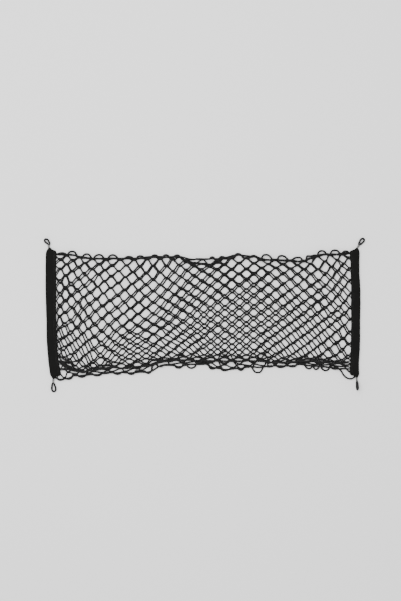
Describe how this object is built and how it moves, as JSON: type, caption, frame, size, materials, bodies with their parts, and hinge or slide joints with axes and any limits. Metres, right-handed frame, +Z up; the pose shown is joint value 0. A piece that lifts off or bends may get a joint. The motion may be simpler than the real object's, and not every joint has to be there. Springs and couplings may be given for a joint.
{
  "type": "cargo net",
  "caption": "Double-layer diamond-mesh cargo net lying flat between folded fabric end bands, with elastic edge cords and corner loops of cord in metal ferrules, for hanging in a car boot.",
  "frame": {"origin": "centre of the whole object's footprint, on the surface that the flat net lies on", "axes": "+X along the net from the left band to the right one, +Y up along the bands towards the top corners, +Z up from the surface, out of the front panel"},
  "size_m": [1.0172, 0.4898, 0.0173],
  "materials": {
    "net_cord": "matte braided elastic cord, black",
    "elastic_cord": "matte braided elastic cord, black",
    "band_fabric": "matte woven tape, black",
    "ferrule_metal": "satin, light grey"
  },
  "bodies": {
    "root": {"net_front": "net_cord", "net_back": "net_cord", "band_left": "band_fabric", "band_right": "band_fabric", "edge_cord_front_top": "elastic_cord", "edge_cord_back_top": "elastic_cord", "edge_cord_front_bottom": "elastic_cord", "edge_cord_back_bottom": "elastic_cord", "ferrule_top_left": "ferrule_metal", "ferrule_top_right": "ferrule_metal", "ferrule_bottom_left": "ferrule_metal", "ferrule_bottom_right": "ferrule_metal", "loop_top_left": "elastic_cord", "loop_top_right": "elastic_cord", "loop_bottom_left": "elastic_cord", "loop_bottom_right": "elastic_cord"}
  },
  "joints": []
}
